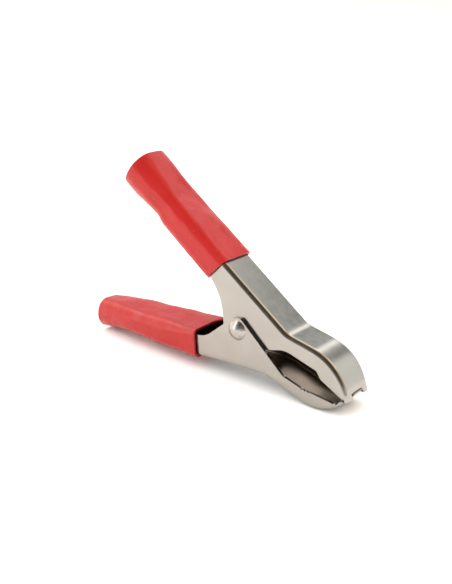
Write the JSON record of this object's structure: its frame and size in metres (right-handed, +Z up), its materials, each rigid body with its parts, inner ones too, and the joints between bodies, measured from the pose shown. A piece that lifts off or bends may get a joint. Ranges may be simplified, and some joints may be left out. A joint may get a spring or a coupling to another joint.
{
  "type": "spring clip",
  "caption": "Sprung steel crocodile-style clip with crossed channel levers, a toothed jaw and soft red handle sleeves, for gripping a terminal.",
  "frame": {"origin": "on the surface that the clip rests on, at the centre of its bounding box seen from above", "axes": "+X along the clip to the jaws' nose, +Y across the clip along the rivet, +Z up; it rests on its lower jaw's belly and the far end of its lower sleeve"},
  "size_m": [0.0778, 0.015, 0.0507],
  "materials": {
    "nickel_plated_steel": "satin nickel plate",
    "rivet_steel": "bright nickel plate",
    "spring_wire": "drawn wire",
    "red_sleeve": "soft vinyl, satin"
  },
  "bodies": {
    "lower_handle": {"lower_lever": "nickel_plated_steel", "pivot_rivet": "rivet_steel", "torsion_spring": "spring_wire", "lower_sleeve": "red_sleeve"},
    "upper_handle": {"upper_lever": "nickel_plated_steel", "upper_sleeve": "red_sleeve"}
  },
  "joints": [
    {"name": "jaw_pivot", "type": "hinge", "parent": "lower_handle", "child": "upper_handle", "pos_m": [0.0083, 0, 0.01333], "axis": [0, -1, 0], "range_deg": [0, 42], "stiffness_Nm_per_rad": 0.25, "springref_deg": -34.38, "deforming": ["torsion_spring"]}
  ]
}
